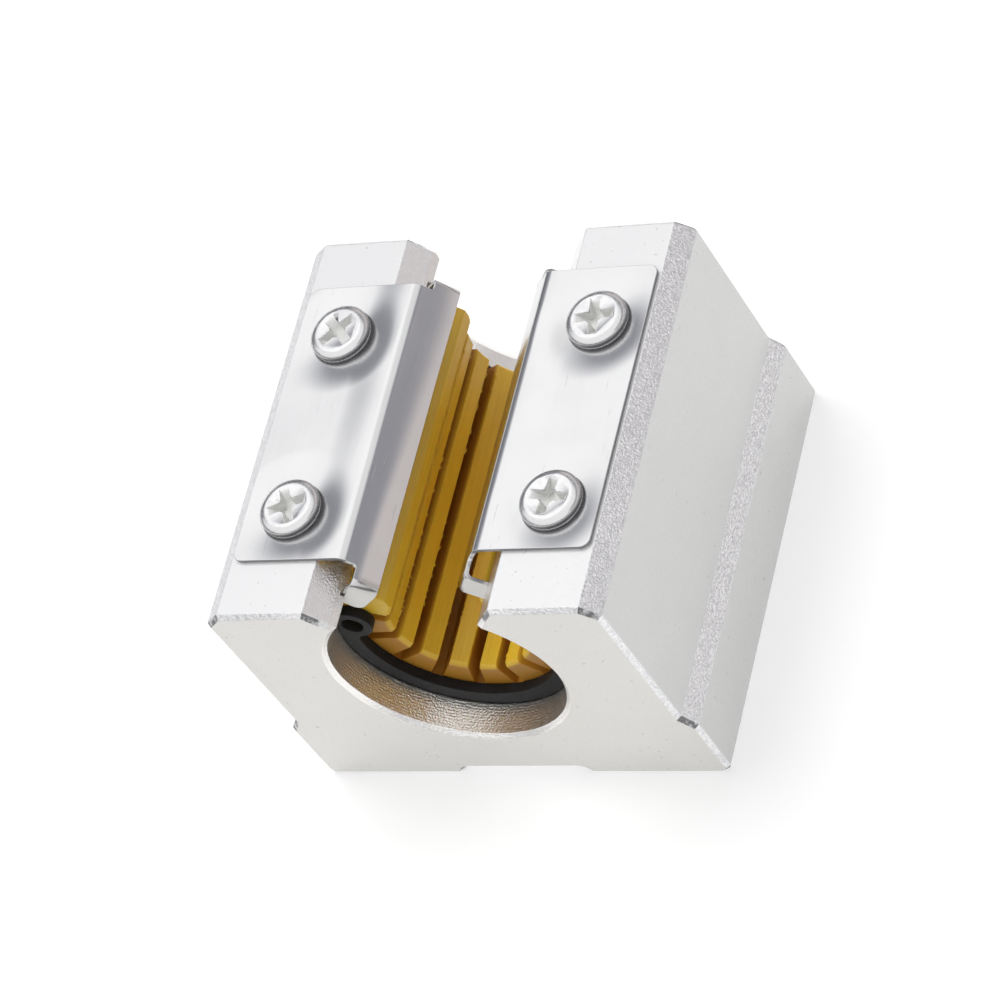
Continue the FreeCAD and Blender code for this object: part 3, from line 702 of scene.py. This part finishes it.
# %% [markdown]
# ## From a bmesh to a piece
#
# A finished mesh becomes an object with a finish. It rides with the block, so that it moves when
# the block does. It is shaded smooth, apart from joints that are sharper than a curve's facets.

# %% Place a piece
SHARP_ANGLE = math.radians(38)


def place_piece(form, name, material):
    """Turns a bmesh into a smooth-shaded piece that rides with the block."""
    open_edges = sum(1 for edge in form.edges if not edge.is_manifold)
    mesh = bpy.data.meshes.new(name)
    form.to_mesh(mesh)
    form.free()
    mesh.shade_smooth()
    mesh.set_sharp_from_angle(angle=SHARP_ANGLE)
    piece = bpy.data.objects.new(name, mesh)
    bpy.context.scene.collection.objects.link(piece)
    mesh.materials.append(material)
    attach(piece, "root")
    print(f"{name}: {len(mesh.polygons)} faces, {open_edges} open edges")
    return piece


print("joints sharper than", round(math.degrees(SHARP_ANGLE)), "degrees stay sharp")

# %% [markdown]
# ## Soft edges
#
# The copy takes the place of the drawn piece, with rounds of 0.05 to 0.10 mm. Each making leaves
# its own round: a sheared sheet the smallest, a cold-headed screw the largest. The edges of a
# screw's cross recess are pressed crisp, so those near its middle are left alone. Flat faces keep
# their flat shading through weighted normals.

# %% Soften each piece by the edge that its making leaves
LINER_ROUND = 0.07 * MM
RING_ROUND = 0.08 * MM
SHEET_ROUND = 0.05 * MM
SCREW_ROUND = 0.10 * MM
ROUND_SEGMENTS = 2


def soften(node_name, radius, material, crisp_within=0.0):
    """Replaces a drawn piece by a copy whose outward edges are rounded. Edges that lie within
    crisp_within of the upright line through the piece's middle stay as they are."""
    form = whole_faces(node_name)
    low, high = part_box(node_name)
    middle = (low + high) / 2
    edges = []
    for edge in outward_edges(form):
        offset = (edge.verts[0].co + edge.verts[1].co) / 2 - middle
        if math.hypot(offset.x, offset.y) >= crisp_within:
            edges.append(edge)
    bmesh.ops.bevel(form, geom=edges, offset=radius, offset_type="OFFSET",
                    segments=ROUND_SEGMENTS, profile=0.5, affect="EDGES", clamp_overlap=True,
                    material=-1)
    bmesh.ops.remove_doubles(form, verts=form.verts, dist=WELD)
    bmesh.ops.dissolve_degenerate(form, edges=form.edges, dist=WELD)
    piece = place_piece(form, node_name + "_finished", material)
    flat = piece.modifiers.new("flat_faces_stay_flat", "WEIGHTED_NORMAL")
    flat.keep_sharp = True
    flat.weight = 100
    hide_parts(node_name)
    return piece


soften("polymer_liner", LINER_ROUND, polymer)
for end in ("front", "rear"):
    soften(f"{end}_retaining_ring", RING_ROUND, black_steel)
for side in ("left", "right"):
    soften(f"{side}_retainer", SHEET_ROUND, stainless)
    for end in ("front", "rear"):
        soften(f"screw_{side}_{end}", SCREW_ROUND, zinc, RECESS_RADIUS)

# %% [markdown]
# ## Burrs on the liner's ribs
#
# Where the mould closes, and where the rail has run, the edges of the ribs carry tiny flakes of
# polymer. They are what makes the edges of the real liner look alive. Bump can't stand out from
# an edge, so each flake is a small stretched ball of twenty faces. The long inner edges are
# found on the drawn mesh itself, and a seeded draw spreads the flakes along them.

# %% The edges beside the running surface
LONG_EDGE = 10 * MM
NEAR_RUNNING = 0.3 * MM        # the ends of such an edge lie this near the running surface


def running_edges():
    """The long edges of the ribs beside the running surface, as pairs of end points."""
    form = whole_faces("polymer_liner")
    found = []
    for edge in outward_edges(form):
        start, end = (vertex.co.copy() for vertex in edge.verts)
        radius = math.hypot(start.x, start.z)
        if abs(end.y - start.y) > LONG_EDGE and abs(radius - RUNNING_RADIUS) < NEAR_RUNNING:
            found.append((start, end))
    form.free()
    return sorted(found, key=lambda pair: (round(pair[0].x / MM, 2), round(pair[0].z / MM, 2)))


rib_edges = running_edges()
print("running edges:", len(rib_edges))

# %% Flakes along those edges
BURR_SEED = 12
BURR_STEP = 1.2 * MM           # one flake in this length of edge, on average
LONGEST_BURR = 0.42 * MM


def make_burrs(edges):
    draw = random.Random(BURR_SEED)
    form = bmesh.new()
    for start, end in edges:
        for _ in range(int((end - start).length / BURR_STEP)):
            spot = start.lerp(end, draw.uniform(0.02, 0.98))
            length = LONGEST_BURR * draw.uniform(0.3, 1.0) ** 2
            thick = draw.uniform(0.04, 0.09) * MM
            lean = Euler((draw.uniform(-0.4, 0.4), draw.uniform(0, math.pi), draw.uniform(-0.5, 0.5)))
            shape = Matrix.Diagonal((thick, max(length, thick), thick, 1))
            place = Matrix.Translation(spot) @ lean.to_matrix().to_4x4() @ shape
            bmesh.ops.create_icosphere(form, subdivisions=1, radius=1.0, matrix=place)
    return place_piece(form, "liner_burrs", polymer)


make_burrs(rib_edges)

# %% [markdown]
# ## Threads in the mounting holes
#
# The four holes in the mounting face are tapped. The drawing leaves them smooth, at the width of
# the tap drill, because a thread costs many faces. A real thread is cut outwards from there, but
# nothing is cut out of a drawn piece. So the ridge stands inwards from the wall instead, which
# looks the same from below. It is one small section swept along a helix: spin with a rise per
# turn does that in one call.

# %% Where the threads go
holes = next(mount for mount in frame["record"]["mounts"] if mount["name"] == "mounting_holes")
HOLE_X = holes["dims"]["spacing_x_mm"] / 2 * MM
HOLE_Y = holes["dims"]["spacing_y_mm"] / 2 * MM
HOLE_RADIUS = holes["dims"]["hole_r_mm"] * MM
THREAD_START = 0.35 * MM       # above the mounting face
THREAD_PITCH = 0.8 * MM
THREAD_TURNS = 6
STEPS_PER_TURN = 28
THREAD_OUTLINE = (             # how far out from the wall of the hole, and how far up
    (0.02 * MM, 0.0), (-0.28 * MM, 0.28 * MM), (-0.28 * MM, 0.36 * MM), (0.02 * MM, 0.64 * MM),
)
print("holes at", round(HOLE_X / MM, 1), "and", round(HOLE_Y / MM, 1), "mm, radius",
      round(HOLE_RADIUS / MM, 2), "mm")


# %% One ridge, spun along a helix in each hole
def make_threads():
    form = bmesh.new()
    for side in (-1, 1):
        for end in (-1, 1):
            centre = Vector((side * HOLE_X, end * HOLE_Y, FLOOR_LEVEL + THREAD_START))
            section = form.faces.new([form.verts.new(centre + Vector((HOLE_RADIUS + reach, 0, rise)))
                                      for reach, rise in THREAD_OUTLINE])
            bmesh.ops.spin(form, geom=[section], cent=centre, axis=(0, 0, 1),
                           dvec=(0, 0, THREAD_PITCH / STEPS_PER_TURN),
                           angle=math.tau * THREAD_TURNS, steps=STEPS_PER_TURN * THREAD_TURNS)
    bmesh.ops.remove_doubles(form, verts=form.verts, dist=WELD)
    bmesh.ops.recalc_face_normals(form, faces=form.faces)
    top = max(vertex.co.z for vertex in form.verts)
    print("threads reach", round((top - FLOOR_LEVEL) / MM, 2), "mm into the block")
    return place_piece(form, "mounting_threads", aluminium)


make_threads()

# %% [markdown]
# ## Floor
#
# Such parts are shown on a white table in a white room. The floor is a white plane at the level
# of the mounting face. A brighter lamp would make it white too, but it would bleach the block.
# So the table is grey and adds a little light of its own, for what looks at it or mirrors it.
# It reads as white and keeps the shadow.

# %% A white table
TABLE_GREY = (0.66, 0.66, 0.66, 1)
TABLE_GLOW = 0.48
TABLE_HALF = 1.5               # metres from the middle to an edge
WHITE = (1, 1, 1, 1)


def seen_directly(tree):
    """1 for camera, mirror and glass rays, 0 for the rays that light things."""
    path = add(tree, "ShaderNodeLightPath")
    seen = sums(tree, "MAXIMUM", path.outputs["Is Camera Ray"], path.outputs["Is Glossy Ray"])
    return sums(tree, "MAXIMUM", seen, path.outputs["Is Transmission Ray"])


def stage_piece(form, name, material):
    """A bmesh that belongs to the studio and not to the block."""
    mesh = bpy.data.meshes.new(name)
    form.to_mesh(mesh)
    form.free()
    mesh.materials.append(material)
    piece = bpy.data.objects.new(name, mesh)
    bpy.context.scene.collection.objects.link(piece)
    print(f"{name}: {len(mesh.polygons)} faces, only in the studio")
    return piece


def make_floor():
    material, tree, out = new_finish("white_table")
    finish_with(material, tree, out, {
        "Base Color": TABLE_GREY, "Roughness": 0.9, "Emission Color": WHITE,
        "Emission Strength": product(tree, seen_directly(tree), TABLE_GLOW),
    })
    form = bmesh.new()
    bmesh.ops.create_grid(form, x_segments=1, y_segments=1, size=TABLE_HALF)
    bmesh.ops.translate(form, verts=form.verts, vec=(0, 0, FLOOR_LEVEL))
    return stage_piece(form, "studio_floor", material)


make_floor()

# %% [markdown]
# ## Grey screens
#
# A polished sheet in an all-white room looks like paper, because it has nothing but white to
# mirror. So grey screens stand round the table. Their dark feet go all the way round and draw
# the rims and folds, and the tallest, from the right to behind, is what the sides of the slot
# mirror. Each is an arc of a cylinder, spun from one upright line. Only mirror rays see the
# screens, so they take no light away and never stand in the camera's way.

# %% Finish and shape of a screen
SCREEN_DISTANCE = 0.60
SCREEN_STEPS = 48


def screen_finish(name, bands, top):
    """Light in bands, each given by the angle above the table where it starts, and its grey."""
    material, tree, out = new_finish(name)
    level = axes_of(tree, object_coordinates(tree))[2]
    ramp = add(tree, "ShaderNodeValToRGB", {0: sums(tree, "DIVIDE", level, top)})
    stops = ramp.color_ramp.elements
    while len(stops) < len(bands):
        stops.new(1.0)
    for stop, (angle, grey) in zip(stops, bands):
        stop.position = SCREEN_DISTANCE * math.tan(math.radians(angle)) / top
        stop.color = (*grey, 1)
    glow = add(tree, "ShaderNodeEmission", {"Color": ramp.outputs[0], "Strength": 1.0})
    tree.links.new(glow.outputs[0], out.inputs[0])
    return material


def make_screen(name, start, end, bands):
    """An upright arc from one azimuth to another, as high as the last band reaches."""
    top = SCREEN_DISTANCE * math.tan(math.radians(bands[-1][0]))
    turn = math.radians(start)
    foot = Vector((math.sin(turn), -math.cos(turn), 0)) * SCREEN_DISTANCE
    form = bmesh.new()
    low = form.verts.new(foot + Vector((0, 0, FLOOR_LEVEL)))
    high = form.verts.new(foot + Vector((0, 0, top)))
    edge = form.edges.new((low, high))
    bmesh.ops.spin(form, geom=[low, high, edge], cent=(0, 0, 0), axis=(0, 0, 1), dvec=(0, 0, 0),
                   angle=math.radians(end - start), steps=SCREEN_STEPS)
    screen = stage_piece(form, name, screen_finish(name + "_finish", bands, top))
    screen.visible_camera = False
    screen.visible_diffuse = False
    screen.visible_shadow = False
    screen.visible_transmission = False
    return screen


print("screens stand", SCREEN_DISTANCE, "m from the block")

# %% Screens that only shiny faces see
DARK = (0.20, 0.20, 0.205)
SLATE = (0.32, 0.325, 0.36)
ROSE = (0.77, 0.71, 0.695)
OPEN = (1.0, 1.0, 1.0)
make_screen("tall_screen", 70, 200, [
    (0, DARK), (7, DARK), (12, ROSE), (25, ROSE), (30, SLATE), (41, SLATE), (46, OPEN),
])
make_screen("back_left_screen", 200, 260, [
    (0, DARK), (14, DARK), (24, SLATE), (36, SLATE), (45, OPEN),
])
make_screen("front_screen", 260, 430, [
    (0, DARK), (9, DARK), (14, SLATE), (22, OPEN),
])

# %% [markdown]
# ## Sky
#
# The white room itself is the sky: it lights matt surfaces at a plain level, and is pure white
# to the camera and to mirrors. A sky of one strength could not do both, because at full white
# it would bleach the block.

# %% A white room
SKY_LIGHT = 0.55
SKY_SEEN = 1.0


def make_sky():
    world = bpy.data.worlds.new("white_room")
    bpy.context.scene.world = world
    world.use_nodes = True
    tree = world.node_tree
    tree.nodes.clear()
    out = tree.nodes.new("ShaderNodeOutputWorld")
    strength = fade(tree, seen_directly(tree), 0, 1, SKY_LIGHT, SKY_SEEN)
    sky = add(tree, "ShaderNodeBackground", {"Color": WHITE, "Strength": strength})
    tree.links.new(sky.outputs[0], out.inputs[0])
    return world


print(make_sky().name, "lights at", SKY_LIGHT, "and is seen at", SKY_SEEN)

# %% [markdown]
# ## Lamps
#
# Two soft lamps stand behind the left shoulder of the block, and leave its long side and its
# ends a step darker. The weak one gleams on the tops and on the fold of the sheet. The strong
# one is hidden from mirror rays, as a lamp with a polarising filter is in a studio: it lights
# the liner and the table, and leaves no glare on metal.

# %% Two soft lamps
def direction(azimuth, elevation):
    """Unit vector out of the block. Azimuth 0 is the front, 90 the right side."""
    turn, tilt = math.radians(azimuth), math.radians(elevation)
    return Vector((math.sin(turn) * math.cos(tilt), -math.cos(turn) * math.cos(tilt), math.sin(tilt)))


def make_lamp(name, azimuth, elevation, distance, size, power):
    """A square soft lamp that looks at the middle of the block."""
    data = bpy.data.lights.new(name, "AREA")
    data.shape = "SQUARE"
    data.size = size
    data.energy = power
    lamp = bpy.data.objects.new(name, data)
    bpy.context.scene.collection.objects.link(lamp)
    away = direction(azimuth, elevation)
    lamp.location = away * distance
    lamp.rotation_euler = (-away).to_track_quat("-Z", "Y").to_euler()
    print(f"{name}: {power} W over a square of {size} m")
    return lamp


make_lamp("shoulder_lamp", azimuth=-130, elevation=58, distance=0.50, size=0.40, power=0.15)
polarised_lamp = make_lamp("polarised_lamp", azimuth=-125, elevation=72, distance=0.50, size=0.26,
                           power=1.1)
polarised_lamp.visible_glossy = False

# %% [markdown]
# ## Camera
#
# A long lens keeps the edges of the block nearly parallel. It looks from above the right front
# corner, and is rolled so that the block lies diagonally.

# %% Camera
AIM = Vector((0.19, -1.17, -0.85)) * MM
CAMERA_AZIMUTH = 44.69
CAMERA_ELEVATION = 48.03
CAMERA_ROLL = -38.31
CAMERA_DISTANCE = 383.7 * MM
LENS = 158.22                  # millimetres, as is the sensor
SENSOR_WIDTH = 36.0
CLIP_START = 0.01


def make_camera():
    data = bpy.data.cameras.new("product_camera")
    data.lens = LENS
    data.sensor_width = SENSOR_WIDTH
    data.clip_start = CLIP_START
    camera = bpy.data.objects.new("product_camera", data)
    bpy.context.scene.collection.objects.link(camera)
    camera.location = AIM + direction(CAMERA_AZIMUTH, CAMERA_ELEVATION) * CAMERA_DISTANCE
    level = Euler((math.radians(90 - CAMERA_ELEVATION), 0, math.radians(CAMERA_AZIMUTH))).to_matrix()
    camera.rotation_euler = (level @ Matrix.Rotation(math.radians(CAMERA_ROLL), 3, "Z")).to_euler()
    bpy.context.scene.camera = camera
    print("camera at", [round(value / MM) for value in camera.location], "mm")
    return camera


make_camera()
bpy.context.scene.view_settings.view_transform = "Standard"

# %% [markdown]
# ## The end
#
# The view layer is brought up to date.

# %% Bring the view layer up to date
bpy.context.view_layer.update()
